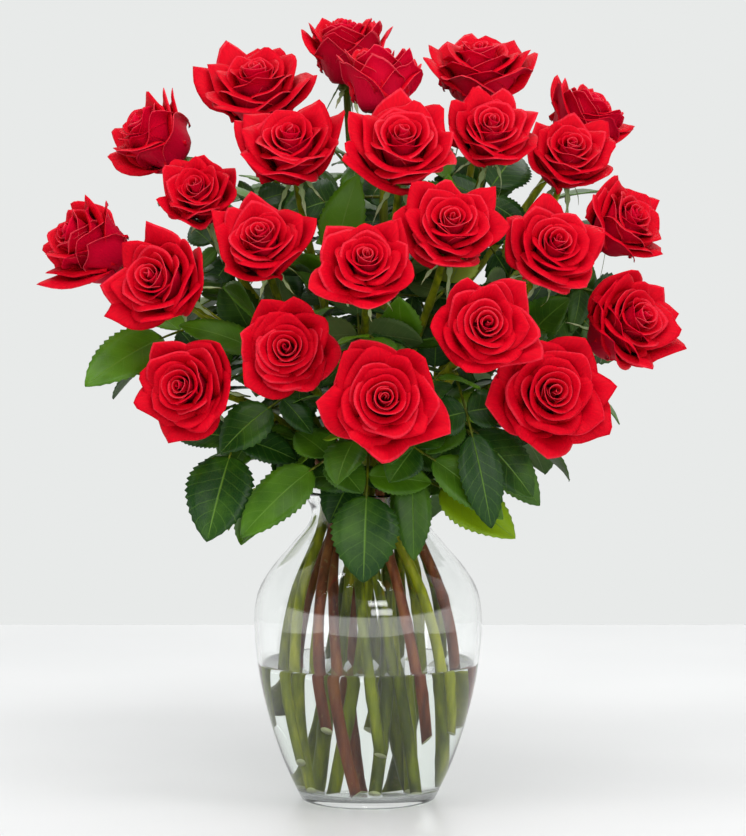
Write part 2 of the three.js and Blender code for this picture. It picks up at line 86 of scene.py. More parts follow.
def meshObject(name, bm, finishes):
    mesh = bpy.data.meshes.new(name)
    bm.to_mesh(mesh)
    bm.free()
    for finish in finishes:
        mesh.materials.append(finish)
    return addObject(name, mesh)


# camera, as the photograph was taken: level with the upper blooms and looking slightly down

cameraSetup = {"place": (0.0033, -2.6, 0.47), "aim": (0.0033, 0, 0.258), "lens": 167.7}

lens = bpy.data.cameras.new("photoCamera")
lens.lens = cameraSetup["lens"]
lens.sensor_width = 36
lens.clip_end = 20
scene.camera = addObject("photoCamera", lens, cameraSetup["place"], cameraSetup["aim"])
scene.view_settings.view_transform = "Standard"


# materials

class Wire:
    # a socket that can be written into sums
    def __init__(self, finish, socket):
        self.finish = finish
        self.socket = socket

    def math(self, operation, other=0):
        return self.finish.node("ShaderNodeMath", {"operation": operation}, {0: self, 1: other})

    def __add__(self, other):
        return self.math("ADD", other)

    def __sub__(self, other):
        return self.math("SUBTRACT", other)

    def __mul__(self, other):
        return self.math("MULTIPLY", other)

    __radd__ = __add__
    __rmul__ = __mul__


class Finish:
    # one material, or the world, and its nodes
    def __init__(self, name, store=bpy.data.materials):
        self.material = store.new(name)
        self.material.use_nodes = True
        self.tree = self.material.node_tree
        self.tree.nodes.clear()

    def node(self, kind, settings=None, inputs=None, output=0):
        made = self.tree.nodes.new(kind)
        for key, value in (settings or {}).items():
            if key == "stops":
                ramp = made.color_ramp
                while len(ramp.elements) < len(value):
                    ramp.elements.new(0.5)
                for element, (place, tint) in zip(ramp.elements, value):
                    element.position = place
                    element.color = (*tint, 1)
            else:
                setattr(made, key, value)
        for key, value in (inputs or {}).items():
            if isinstance(value, Wire):
                self.tree.links.new(value.socket, made.inputs[key])
            else:
                made.inputs[key].default_value = value
        return Wire(self, made.outputs[output]) if len(made.outputs) else None

    def noise(self, scale, detail=3, vector=None, stretch=(1, 1, 1)):
        place = vector or self.node("ShaderNodeTexCoord", output="Object")
        place = self.node("ShaderNodeMapping", inputs={"Vector": place, "Scale": stretch})
        return self.node("ShaderNodeTexNoise", inputs={"Vector": place, "Scale": scale, "Detail": detail})

    def ramp(self, value, *stops):
        return self.node("ShaderNodeValToRGB", {"stops": stops}, {0: value})

    def fade(self, value, start, end, first=0, last=1):
        # from one grey to another
        return self.ramp(value, (start, [first] * 3), (end, [last] * 3))

    def bump(self, strength, distance, height):
        return self.node("ShaderNodeBump", inputs={
            "Strength": strength, "Distance": distance, "Height": height})

    def axis(self, place, which):
        return self.node("ShaderNodeSeparateXYZ", inputs={0: place}, output=which)

    def blend(self, amount, first, second):
        return self.node("ShaderNodeMix", {"data_type": "RGBA"}, {0: amount, 6: first, 7: second}, output=2)

    def along(self):
        place = self.node("ShaderNodeUVMap", {"uv_map": "UVMap"})
        return self.axis(place, 0), self.axis(place, 1), place

    def mark(self, name):
        return self.node("ShaderNodeAttribute", {"attribute_name": name}, output="Fac")

    def finishWith(self, **sockets):
        names = {key.replace("_", " "): value for key, value in sockets.items()}
        surface = self.node("ShaderNodeBsdfPrincipled", inputs=names)
        self.node("ShaderNodeOutputMaterial", inputs={"Surface": surface})
        return self.material


def colour(r, g, b):
    return (r, g, b, 1)


def petalFinish(name, hollow, deep, main, rim):
    finish = Finish(name)
    _, along, place = finish.along()
    level = along + 0.14 * (finish.mark("petalTone") - 0.5)
    # the colour from the petal's foot to its rim: darker at the foot, deep in the bloom, is painted shade,
    # and the lighter band at the very rim is a painted highlight
    body = finish.ramp(level, (0.0, hollow), (0.35, deep), (0.66, main), (0.97, main), (0.995, rim))
    cloud = finish.noise(55, 3)
    streaks = finish.noise(7, 4, place, (9, 0.8, 1))
    shade = finish.blend(0.25 * cloud + 0.9 * (streaks - 0.42), body, colour(*deep))
    bump = finish.bump(0.5, 0.0007, 0.8 * streaks + 0.2 * finish.noise(1500, 2))
    return finish.finishWith(
        Base_Color=shade, Roughness=0.5 + 0.18 * cloud, Normal=bump, Specular_IOR_Level=0.06)


# for each side of the petals: the colour at the foot and the deep red it darkens into (painted shade; the
# deep red also colours the streaks), the main red, and a lighter colour at the rim (painted highlight)
petalFace = petalFinish("petalFace", (0.085, 0.0, 0.002), (0.24, 0.0, 0.006), (0.62, 0.0, 0.011),
                        (0.70, 0.015, 0.035))
petalBack = petalFinish("petalBack", (0.32, 0.0, 0.018), (0.48, 0.0, 0.022), (0.60, 0.001, 0.026),
                        (0.70, 0.05, 0.075))


def leafFinish(name, dark, light, young, vein, rough, shine):
    finish = Finish(name)
    across, along, place = finish.along()
    tone = finish.mark("leafTone")
    reach = (across - 0.5).math("ABSOLUTE")
    midrib = finish.fade(reach, 0, 0.022, 1, 0)
    wave = ((along * 8 - reach * 3.4) * 6.2832).math("SINE")
    side = finish.fade(wave, 0.93, 1, 0, 0.25)
    stretched = finish.node("ShaderNodeMapping", inputs={"Vector": place, "Scale": (14, 20, 1)})
    net = finish.node("ShaderNodeTexVoronoi", {"feature": "DISTANCE_TO_EDGE"}, {
        "Vector": stretched, "Scale": 1.6})
    fine = finish.fade(net, 0, 0.08, 0.12, 0)
    cloud = finish.noise(45, 4)
    body = finish.blend(finish.fade(cloud + 0.9 * (tone - 0.5), 0.25, 0.85), colour(*dark), colour(*light))
    fresh = finish.fade(tone + 0.1 * (cloud - 0.5), 0.89, 0.96)
    body = finish.blend(fresh, body, colour(*young))
    for lines in (side, fine, midrib):
        body = finish.blend(lines, body, colour(*vein))
    bump = finish.bump(0.5, 0.0005, net * 0.4 - 0.6 * side - 0.8 * midrib)
    return finish.finishWith(Base_Color=body, Roughness=rough + 0.15 * cloud, Normal=bump,
                             Specular_IOR_Level=shine)


leafFace = leafFinish("leafFace", (0.006, 0.036, 0.003), (0.066, 0.172, 0.004), (0.18, 0.3, 0.004),
                      (0.1, 0.21, 0.02), 0.3, 0.2)
leafUnder = leafFinish("leafUnder", (0.04, 0.085, 0.02), (0.085, 0.125, 0.03), (0.2, 0.26, 0.02),
                       (0.11, 0.17, 0.05), 0.42, 0.13)


def stemFinish():
    finish = Finish("stemBark")
    grain = finish.noise(160, 4, stretch=(1, 1, 0.16))
    age = grain + 0.34 * (finish.mark("stemTone") - 0.5)  # no two stems are quite the same green
    green = finish.ramp(age, (0.3, (0.045, 0.062, 0.002)), (0.52, (0.135, 0.165, 0.003)),
                        (0.8, (0.33, 0.35, 0.012)))
    brown = finish.ramp(grain, (0.3, (0.045, 0.01, 0.004)), (0.52, (0.14, 0.036, 0.012)),
                        (0.8, (0.27, 0.11, 0.025)))
    body = finish.blend(finish.fade(finish.mark("woody") + 0.5 * (grain - 0.5), 0.4, 0.6), green, brown)
    spots = finish.fade(finish.noise(420, 2), 0.66, 0.72, 0, 0.5)
    body = finish.blend(spots, body, colour(0.2, 0.16, 0.06))
    body = finish.blend(finish.mark("cutFace"), body, colour(0.55, 0.58, 0.32))
    bump = finish.bump(0.4, 0.0004, grain)
    return finish.finishWith(Base_Color=body, Roughness=0.36 + 0.2 * grain, Normal=bump,
                             Specular_IOR_Level=0.16)


stemBark = stemFinish()


def sepalFinish():
    finish = Finish("sepalGreen")
    _, along, place = finish.along()
    grain = finish.noise(30, 3, place, (6, 1, 1))
    body = finish.ramp(along + 0.3 * (grain - 0.5), (0.1, (0.12, 0.22, 0.05)), (0.6, (0.26, 0.36, 0.15)),
                       (0.95, (0.42, 0.46, 0.27)))
    bump = finish.bump(0.4, 0.0004, grain)
    return finish.finishWith(Base_Color=body, Roughness=0.55 + 0.1 * grain, Normal=bump)


sepalGreen = sepalFinish()


def clearFinish(name, tint, ior, ripple):
    finish = Finish(name)
    bump = finish.bump(ripple, 0.002, finish.noise(9, 2))
    clear = finish.node("ShaderNodeBsdfPrincipled", inputs={
        "Base Color": tint, "Roughness": 0.012 * finish.noise(30, 3), "Normal": bump, "IOR": ior,
        "Transmission Weight": 1.0})
    bending = finish.node("ShaderNodeBsdfRefraction", inputs={
        "Color": tint, "Roughness": 0.0, "IOR": ior})
    body = finish.node("ShaderNodeMixShader", inputs={0: finish.mark("wet"), 1: clear, 2: bending})
    passing = finish.node("ShaderNodeBsdfTransparent", inputs={"Color": tint})
    fromLamp = finish.node("ShaderNodeLightPath", output="Is Shadow Ray")  # the lamps' light goes through
    surface = finish.node("ShaderNodeMixShader", inputs={0: fromLamp, 1: body, 2: passing})
    finish.node("ShaderNodeOutputMaterial", inputs={"Surface": surface})
    return finish.material


vaseGlass = clearFinish("vaseGlass", colour(0.985, 0.995, 0.99), 1.5, 0.012)
clearWater = clearFinish("clearWater", colour(0.975, 0.99, 0.975), 1.333, 0.01)


def floorFinish():
    finish = Finish("paleFloor")
    cloud = finish.noise(2.2, 3)
    body = finish.ramp(cloud, (0.3, (0.675, 0.68, 0.685)), (0.7, (0.75, 0.752, 0.755)))
    return finish.finishWith(Base_Color=body, Roughness=0.3 + 0.1 * cloud)


report("materials")


# pieces

def newPiece(name, bm, finishes, node):
    piece = meshObject(name, bm, finishes)
    piece.data.polygons.foreach_set("use_smooth", [True] * len(piece.data.polygons))
    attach(piece, "root")
    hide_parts(node)
    return piece


def addGrid(bm, across, along):
    made = bmesh.ops.create_grid(bm, x_segments=across, y_segments=along, size=1, calc_uvs=True)["verts"]
    where = np.array([v.co[:2] for v in made])
    i, j = np.rint((where + 1) / 2 * [across, along]).astype(int).T
    return made, i, j


def placeVerts(verts, points):
    # points are in mm
    for vert, point in zip(verts, points * mm):
        vert.co = point


def facesOf(verts):
    # in a fixed order, so that each run gives the same result
    return list(dict.fromkeys(face for vert in verts for face in vert.link_faces))


def thicken(bm, faces, thick):
    # gives the faces a second side, and returns what it adds
    made = bmesh.ops.solidify(bm, geom=faces, thickness=thick * mm)["geom"]
    return [face for face in made if isinstance(face, bmesh.types.BMFace)]


# the vase and its water

vaseShape = {
    "wall": 3,
    "floor": 7,
    "outline": [(41, 0), (46.5, 4), (57, 27), (66, 54), (73, 84), (76.5, 116),
                (74.5, 139), (66, 155.5), (51.5, 173), (39.5, 188), (38.5, 198), (45, 210)],
    "foot": [(0, 0.0), (38.5, 0.0), (41.5, 0.15), (43.4, 0.55)],
    "lip": [(44.9, 209.4), (44.6, 210.0), (43.6, 210.2), (42.6, 209.8), (41.9, 208.8)],
    "hollow": [(52.8, 23), (50.6, 17.5), (47.6, 13), (43.5, 9.8), (38, 8), (30, 7.2), (15, 7.0), (0, 7.0)],
    "wallFrom": 29, "wallTo": 207,
    "turns": 112,
}
waterLevel = 94
waterShape = {
    "inGlass": 0.15,  # the water wets the glass: no film of air shows between them
    "hollow": [(0, 6.85), (15, 6.85), (30, 7.05), (38.1, 7.86), (43.6, 9.7), (47.7, 12.9),
               (50.75, 17.45), (52.95, 23)],
}
wetFrom = 14
rim = 210


def radiusAt(z):
    # radius of the vase's outside
    r, heights = zip(*vaseShape["outline"])
    return np.interp(z, heights, r)


def softCurve(points, spans):
    # a smooth curve through a list of points
    points = np.array(points, float)
    slope = np.gradient(points, axis=0)
    t = np.linspace(0, 1, spans, endpoint=False)[:, None]
    pieces = []
    for a, b, da, db in zip(points[:-1], points[1:], slope[:-1], slope[1:]):
        pieces.append((2 * t**3 - 3 * t**2 + 1) * a + (t**3 - 2 * t**2 + t) * da
                      + (3 * t**2 - 2 * t**3) * b + (t**3 - t**2) * db)
    return np.vstack(pieces + [points[-1:]])


def outerSide():
    # the outside of the glass, between the foot's edge and the lip
    return softCurve([(44.5, 1.2), *vaseShape["outline"][1:-1], (44.6, 208.6)], 7)


def turned(profile, steps):
    # a closed profile from axis to axis, spun round +Z
    bm = bmesh.new()
    verts = [bm.verts.new((r * mm, 0, z * mm)) for r, z in profile]
    edges = [bm.edges.new(pair) for pair in zip(verts, verts[1:])]
    bmesh.ops.spin(bm, geom=verts + edges, axis=(0, 0, 1), cent=(0, 0, 0), angle=2 * pi, steps=steps,
                   use_merge=True)
    bmesh.ops.remove_doubles(bm, verts=bm.verts, dist=1e-6)
    bmesh.ops.recalc_face_normals(bm, faces=bm.faces)
    return bm


def markWet(bm, isWet):
    # where water and glass meet, nothing glints
    wet = bm.faces.layers.float.new("wet")
    for face in bm.faces:
        middle = face.calc_center_median() / mm
        face[wet] = float(isWet(hypot(middle.x, middle.y), middle.z))


def makeVase():
    wall = vaseShape["wall"]
    outer = outerSide()
    inner = [(r - wall, z) for r, z in outer[::-1] if vaseShape["wallFrom"] < z < vaseShape["wallTo"]]
    bm = turned([*vaseShape["foot"], *outer, *vaseShape["lip"], *inner, *vaseShape["hollow"]],
                vaseShape["turns"])
    markWet(bm, lambda r, z: wetFrom < z < waterLevel + 0.3 and r < radiusAt(z) - wall / 2)
    newPiece("vaseGlass", bm, [vaseGlass], "vase")


def makeWater():
    side = [(r - vaseShape["wall"] + waterShape["inGlass"], z) for r, z in outerSide()
            if vaseShape["wallFrom"] < z < waterLevel + 0.8]
    edge = side[-1][0]
    top = [(edge - 0.7, waterLevel + 0.35), (edge - 2.4, waterLevel), (0, waterLevel)]
    bm = turned([*waterShape["hollow"], *side, *top], vaseShape["turns"])
    markWet(bm, lambda r, z: wetFrom < z < waterLevel - 0.1 or r > edge - 0.35)
    newPiece("clearWater", bm, [clearWater], "water")


makeVase()
makeWater()
report("vase and water")


# the roses: the middle of each bloom, the way it faces, its width, how open it is, and its turn

roses = [
    (-16, 85, 503, -15, 80, 66, 0.8, 10), (8, 15, 481, 20, 96, 62, 0.7, 40),
    (75, 60, 491, 5, 72, 76, 1.1, 75), (-75, 45, 477, -15, 58, 78, 1.1, 20),
    (-50, -40, 439, -8, 48, 76, 1, 55), (22, -60, 439, 4, 46, 80, 1.1, 5),
    (81, -19, 449, 8, 42, 70, 1, 30), (148, 85, 458, 75, 58, 70, 0.9, 62),
    (135, 17, 434, 14, 44, 70, 1, 12), (-143, 35, 443, -62, 40, 66, 0.85, 35),
    (-112, -33, 409, -12, 36, 66, 0.8, 50), (-68, -96, 379, -10, 40, 74, 0.9, 25),
    (-181, -25, 373, -62, 30, 68, 0.9, 70), (-134, -73, 352, -30, 22, 76, 1, 15),
    (-1, -149, 367, 0, 34, 74, 1, 45), (53, -106, 389, 8, 36, 76, 1.05, 0),
    (120, -79, 374, 18, 32, 76, 1.05, 33), (170, -23, 390, 48, 34, 72, 1, 58),
    (74, -141, 327, 8, 18, 74, 1.05, 22), (168, -50, 323, 40, 22, 74, 1, 66),
    (-51, -122, 311, -6, 16, 74, 1.05, 8), (-116, -100, 286, -24, 8, 78, 1, 38),
    (10, -158, 282, 3, 12, 84, 1.1, 28), (117, -97, 281, 16, 14, 84, 1.1, 52),
]
bloomShape = {"height": 0.62, "middle": 0.52, "pressed": 0.9, "pressSoft": 5,
              "hipRoom": 15, "fullFrom": 0.55, "below": 30, "above": 3}


class Bloom:
    def __init__(self, x, y, z, yaw, pitch, width, opened, turn):
        yaw, pitch = radians(yaw), radians(pitch)
        self.axis = np.array([sin(yaw) * cos(pitch), -cos(yaw) * cos(pitch), sin(pitch)])
        self.radius = width / 2
        self.height = width * bloomShape["height"]
        self.opened = opened
        self.middle = np.array([x, y, z], float)
        self.base = self.middle - self.axis * self.height * bloomShape["middle"]
        turning = Vector((0, 0, 1)).rotation_difference(Vector(self.axis)).to_matrix()
        self.turning = np.array(turning @ Matrix.Rotation(radians(turn), 3, "Z"))

    def inward(self, points):
        return (points - self.base) @ self.turning

    def outward(self, points):
        return points @ self.turning.T + self.base


blooms = [Bloom(*row) for row in roses]


def roomOf(h, radius, height):
    # radius of the room that a bloom takes, at a height above its base; none beyond its ends
    slim = bloomShape["hipRoom"]
    grown = np.clip(h / (bloomShape["fullFrom"] * height), 0, 1)
    beyond = (h < -bloomShape["below"]) | (h > height + bloomShape["above"])
    return np.where(beyond, -100, mix(slim, radius + 2, grown))


def insideBloom(bloom, points):
    # how deep points lie in the room that a bloom takes, and the way out
    fromBase = points - bloom.base
    h = fromBase @ bloom.axis
    away = fromBase - h[:, None] * bloom.axis
    reach = norm(away, axis=1)
    return roomOf(h, bloom.radius, bloom.height) - reach, away / np.maximum(reach, 1e-6)[:, None]


def pressOf(index):
    # petals give way where a neighbour's begin
    bloom = blooms[index]
    walls = []
    for other in blooms:
        gap = norm(other.middle - bloom.middle)
        if other is bloom or gap > bloom.radius + other.radius + 12:
            continue
        normal = (other.middle - bloom.middle) / gap
        point = bloom.middle + normal * gap * bloom.radius / (bloom.radius + other.radius)
        walls.append((bloom.inward(point), normal @ bloom.turning))
    soft = bloomShape["pressSoft"]

    def press(points):
        for point, normal in walls:
            free = (point - points) @ normal - bloomShape["pressed"]
            kept = np.where(free > 4 * soft, free,
                            soft * np.log1p(np.exp(np.clip(free, -40 * soft, 4 * soft) / soft)))
            points = points + (free - kept)[:, None] * normal
        return points
    return press


# the stems' courses: a florist's spiral, pushed apart and kept smooth

knotCount = 48  # points in each course
stemShape = {
    "footRadius": 3.9, "headRadius": 2.5, "footApart": 10.6, "headApart": 8.8,
    "neckHeight": 192, "neckRadius": 30, "headStraight": 2, "rounds": 260, "sides": 12, "cut": 2.6,
    "middle": 25, "push": 0.45, "even": 0.3, "offBlooms": 5,
}
footings = [  # on the sloping wall, at the edge of the floor, on the wall again, crossed in the middle
    {"neck": 1, "turn": 24, "wall": (42, 58), "belly": 61, "bellyHeight": 128},
    {"neck": 0.8, "turn": 55, "circle": 37, "belly": 44, "bellyHeight": 100},
    {"neck": 1, "turn": 24, "wall": (56, 72), "belly": 61, "bellyHeight": 128},
    {"neck": 0.45, "turn": -75, "circle": 26, "belly": 20, "bellyHeight": 100},
]
hipLength = 11


def onCircle(radius, angle, height):
    return np.array([radius * cos(angle), radius * sin(angle), height])


def evenly(bends, count):
    # points at even steps along a chain of curves, each given by its control points
    t = np.linspace(0, 1, 201)[:, None]
    tracks = []
    for bend in bends:
        n = len(bend) - 1
        tracks.append(sum(comb(n, i) * (1 - t)**(n - i) * t**i * p for i, p in enumerate(bend)))
    track = np.vstack(tracks)
    grown = np.concatenate([[0], np.cumsum(norm(np.diff(track, axis=0), axis=1))])
    steps = np.linspace(0, grown[-1], count)
    return np.stack([np.interp(steps, grown, track[:, axis]) for axis in range(3)], 1)


def firstCourses():
    turns = [atan2(bloom.base[1] + stemShape["middle"], bloom.base[0]) for bloom in blooms]
    lines = [None] * len(blooms)
    for rank, i in enumerate(sorted(range(len(blooms)), key=turns.__getitem__)):
        bloom = blooms[i]
        even = -pi + 2 * pi * (rank + 0.5) / len(blooms)
        angle = mix(turns[i], even, 0.75)
        spread = min(1, hypot(*bloom.base[:2]) / 120)
        footing = footings[rank % len(footings)]
        atNeck = stemShape["neckRadius"] * mix(0.5, 1, spread) * footing["neck"]
        footAngle = angle + radians(footing["turn"])
        if "circle" in footing:
            atFoot, footHeight = footing["circle"], vaseShape["floor"] + 5
        else:
            footHeight = mix(*footing["wall"], rank * 0.37 % 1)
            atFoot = radiusAt(footHeight) - vaseShape["wall"] - stemShape["footRadius"] - 2
        neck = onCircle(atNeck, angle, stemShape["neckHeight"])
        foot = onCircle(atFoot, footAngle, footHeight)
        belly = onCircle(footing["belly"], (angle + footAngle) / 2, footing["bellyHeight"])
        head = bloom.base - bloom.axis * (hipLength - 3)
        length = norm(head - neck)
        rise = mix(unit(neck - belly), np.array([0, 0, 1.0]), 0.5)
        above = [neck, neck + rise * 0.4 * length, head - bloom.axis * 0.4 * length, head]
        lines[i] = evenly([[foot, belly, neck], above], knotCount)
    return np.array(lines)


stemRadii = mix(stemShape["footRadius"], stemShape["headRadius"], np.arange(knotCount) / (knotCount - 1))


def settle(lines):
    stemCount, count, _ = lines.shape
    last = count - 1
    held = last - stemShape["headStraight"]
    owner = np.repeat(np.arange(stemCount), count)
    step = np.tile(np.arange(count), stemCount)
    for _ in range(stemShape["rounds"]):
        flat = lines.reshape(-1, 3)
        size = (flat**2).sum(1)
        square = size[:, None] + size[None] - 2 * flat @ flat.T
        a, b = np.nonzero(square < stemShape["footApart"]**2 + 1e-6)
        kept = owner[a] < owner[b]
        a, b = a[kept], b[kept]
        between = flat[a] - flat[b]
        gap = np.sqrt((between**2).sum(1))
        apart = mix(stemShape["footApart"], stemShape["headApart"], (step[a] + step[b]) / (2 * last))
        near = (gap < apart) & (gap > 1e-6)
        push = between[near] * (stemShape["push"] * (apart - gap) / gap)[near][:, None]
        shift = np.zeros_like(flat)
        np.add.at(shift, a[near], push)
        np.add.at(shift, b[near], -push)
        shift = shift.reshape(lines.shape)
        even = np.zeros_like(lines[:, :held])
        even[:, 0] = 2 * lines[:, 1] - lines[:, 2]
        even[:, 1] = (lines[:, 0] + lines[:, 2]) / 2
        even[:, 2:] = (4 * (lines[:, 1:held - 1] + lines[:, 3:held + 1])
                       - lines[:, :held - 2] - lines[:, 4:held + 2]) / 6
        shift[:, :held] += stemShape["even"] * (even - lines[:, :held])
        for j, bloom in enumerate(blooms):
            depth, away = insideBloom(bloom, lines[:, :held].reshape(-1, 3))
            depth = np.where(np.repeat(np.arange(stemCount), held) == j, -100, depth)
            shove = np.maximum(0.3 * (depth + stemShape["offBlooms"]), 0)[:, None] * away
            shift[:, :held] += shove.reshape(stemCount, held, 3)
        shift[:, 0, 2] = 0
        lines[:, :held] += shift[:, :held]
        z = lines[:, :held, 2]
        most = radiusAt(np.clip(z, 0, rim)) - vaseShape["wall"] - stemRadii[:held] - 3
        reach = np.hypot(lines[:, :held, 0], lines[:, :held, 1])
        tight = np.where((z < rim + 6) & (reach > most), most / np.maximum(reach, 1e-6), 1)
        lines[:, :held, :2] *= tight[..., None]
    return lines


stems = settle(firstCourses())
report("stems' courses")


# the leaves' places: each clear of every stem, bloom and leaf and of the glass

leafShape = {
    "length": 98, "halfWidth": 43, "arch": 0.1, "fold": 0.16,
    "outline": [(0.026, 0), (0.025, 0.25), (0.42, 0.165), (0.82, 0.2), (1, 0.31), (0.66, 0.41),
                (0.028, 0.45), (0.38, 0.52), (0.52, 0.64), (0.42, 0.7), (0.4, 0.81), (0.16, 0.92)],
    "most": 44, "longest": 118, "mostBend": 1.1, "bestFew": 60,
    "smallSizes": (0.78, 0.5), "smallTurns": (-110, 110), "smallLifts": (-35, 45), "smallTries": 150,
    "smallEach": 5, "apart": (22, 9), "stemGap": (4.4, 3), "middle": 20,
}
shownLeaves = [  # base, tip, half width
    ((-82, -84, 232), (-104, -98, 187), 42), ((-42, -84, 218), (-82, -104, 192), 32),
    ((8, -82, 204), (-3, -96, 160), 42), ((30, -66, 200), (30, -78, 172), 24),
    ((48, -64, 205), (96, -74, 186), 34), ((56, -88, 222), (88, -96, 202), 28),
    ((80, -50, 225), (114, -50, 205), 30), ((110, -66, 246), (120, -78, 196), 36),
    ((-138, -62, 304), (-184, -68, 286), 42), ((-88, -60, 280), (-76, -66, 240), 32),
    ((-62, -78, 258), (-96, -86, 244), 30), ((-30, -70, 214), (-30, -92, 250), 30),
    ((56, -84, 228), (80, -104, 196), 32), ((66, -60, 222), (108, -78, 214), 32),
    ((26, -74, 214), (46, -98, 234), 30), ((112, -34, 300), (130, -40, 340), 32),
    ((-84, -50, 300), (-122, -62, 326), 32), ((112, 0, 408), (142, 6, 396), 28),
    ((-10, -20, 388), (-8, -30, 420), 30), ((-60, -50, 380), (-88, -50, 398), 28),
    ((60, -70, 330), (84, -84, 352), 28), ((-84, -70, 320), (-92, -84, 350), 28),
]


class Leaf:
    def __init__(self, owner, start, along, towards, length, halfWidth):
        self.owner = owner
        self.start = start
        self.along = along
        self.face = unit(towards - along * (towards @ along))
        self.side = np.cross(along, self.face)
        self.length = length
        self.halfWidth = halfWidth
        self.middle = start + along * length / 2
        self.span = 0.62 * length + 0.5 * halfWidth
        self.tone = 1

    def point(self, x, t, lift=0):
        rise = (leafShape["arch"] * self.length * 4 * t * (1 - t)
                - leafShape["fold"] * self.halfWidth * x * x + lift)
        return (self.start + np.outer(t * self.length, self.along)
                + np.outer(x * self.halfWidth, self.side) + np.outer(rise, self.face))


def leafProbes():
    outline = leafShape["outline"][2:]
    probes = []
    for i, (x, t) in enumerate(outline):
        nextX, nextT = outline[min(i + 1, len(outline) - 1)]
        probes += [(x, t), ((x + nextX) / 2, (t + nextT) / 2), (x * 0.7, t), (x * 0.35, t)]
    both = [p for x, t in probes for p in ((x, t), (-x, t))]
    return np.array(both + [(0, n / 10) for n in range(1, 11)])


probes = leafProbes()
firstProbes = np.array([(0, 0.5), (0, 1), (0.82, 0.2), (-0.82, 0.2), (0.66, 0.41), (-0.66, 0.41)])
stemPoints = stems.reshape(-1, 3)
stemOwner = np.repeat(np.arange(len(stems)), knotCount)
stemThick = np.tile(stemRadii, len(stems))
bloomBases = np.array([bloom.base for bloom in blooms])[:, None]
bloomAxes = np.array([bloom.axis for bloom in blooms])[:, None]
bloomSizes = np.array([(bloom.radius, bloom.height) for bloom in blooms])[:, :, None]
placedLeaves = []


def meetsBloom(points):
    fromBase = points[None] - bloomBases
    h = (fromBase * bloomAxes).sum(2)
    reach = np.sqrt(np.maximum((fromBase**2).sum(2) - h**2, 0))
    return (roomOf(h, bloomSizes[:, 0], bloomSizes[:, 1]) - reach > -3).any()


def meetsStem(leaf, points, t, small):
    near = ((stemPoints - leaf.middle)**2).sum(1) < (leaf.span + 8)**2
    square = ((points[:, None] - stemPoints[near][None])**2).sum(2)
    own = (stemOwner[near] == leaf.owner)[None] & (t <= 0.16)[:, None]
    room = (stemThick[near] + leafShape["stemGap"][small])**2
    return ((square < room[None]) & ~own).any()


def isClear(leaf, small=False):
    for spots in (firstProbes, probes):
        points = leaf.point(*spots.T)
        if meetsStem(leaf, points, spots[:, 1], small) or meetsBloom(points):
            return False
    reach = np.hypot(points[:, 0], points[:, 1])
    if ((points[:, 2] < rim + 5) & (reach < radiusAt(np.clip(points[:, 2], 0, rim)) + 4)).any():
        return False
    for other, otherPoints in placedLeaves:
        if norm(other.middle - leaf.middle) > other.span + leaf.span + 5:
            continue
        if (((points[:, None] - otherPoints[None])**2).sum(2) <= leafShape["apart"][small]).any():
            return False
    placedLeaves.append((leaf, points))
    return True


def grows(owner, start, turned, lift, facing, size, small=False):
    # a leaf that points away from the bouquet's middle, where there is room for it
    out = atan2(start[1] + leafShape["middle"], start[0]) + radians(turned)
    lift = radians(lift)
    along = np.array([cos(out) * cos(lift), sin(out) * cos(lift), sin(lift)])
    towards = np.array([cos(out) * facing[0], sin(out) * facing[0], facing[1]])
    leaf = Leaf(owner, start, along, towards, leafShape["length"] * size, leafShape["halfWidth"] * size)
    return isClear(leaf, small)


def placeShown(base, tip, halfWidth):
    base, tip = np.array(base, float), np.array(tip, float)
    choices = []
    for owner, line in enumerate(stems):
        for k, start in enumerate(line):
            along = tip - start
            length = norm(along)
            toBase, toTip = base - start, tip - base
            cosine = toBase @ toTip / (norm(toBase) * norm(toTip))
            bend = acos(min(1, max(-1, cosine)))
            onStem = start[2] > rim + 4 and k < knotCount - 6
            if onStem and length < leafShape["longest"] and bend < leafShape["mostBend"]:
                choices.append((bend + length / 90, owner, start, along / length, length))
    best = sorted(choices, key=lambda choice: choice[0])[:leafShape["bestFew"]]
    towards = np.array([0, -0.8, 0.6])
    return any(isClear(Leaf(owner, start, along, towards, length, halfWidth * size))
               for size in (1, 0.85, 0.7) for _, owner, start, along, length in best)


def placeByRule(owner, slot):
    line = stems[owner]
    draw = seededRandom(900 + owner * 7 + slot)
    low = int(np.argmax(line[:, 2] > rim + 10))
    high = knotCount - 8
    starts = [int(mix(low, high, ((n + slot * 3) % 6) / 5) + 0.5) for n in range(6)]
    lean = draw() * 20 - 10
    for size in (1, 0.86, 0.72, 0.58):
        for k in starts:
            for offset in (0, 30, -30, 60, -60, 100, -100, 150):
                for lift in (5, -25, 35, 60):
                    if grows(owner, line[k], offset + lean, lift, (0.5, 0.9), size):
                        return


def placeSmall(owner, slot):
    # a lesser leaf, wherever there is still room along the stem
    line = stems[owner]
    draw = seededRandom(5000 + owner * 31 + slot)
    low = int(np.argmax(line[:, 2] > rim + 10))
    tries = leafShape["smallTries"]
    for attempt in range(tries):
        start = line[low + int(draw() * (knotCount - 6 - low))]
        turned = mix(*leafShape["smallTurns"], draw())
        lift = mix(*leafShape["smallLifts"], draw())
        size = mix(*leafShape["smallSizes"], attempt / tries)
        if grows(owner, start, turned, lift, (0.8, 0.6), size, small=True):
            return


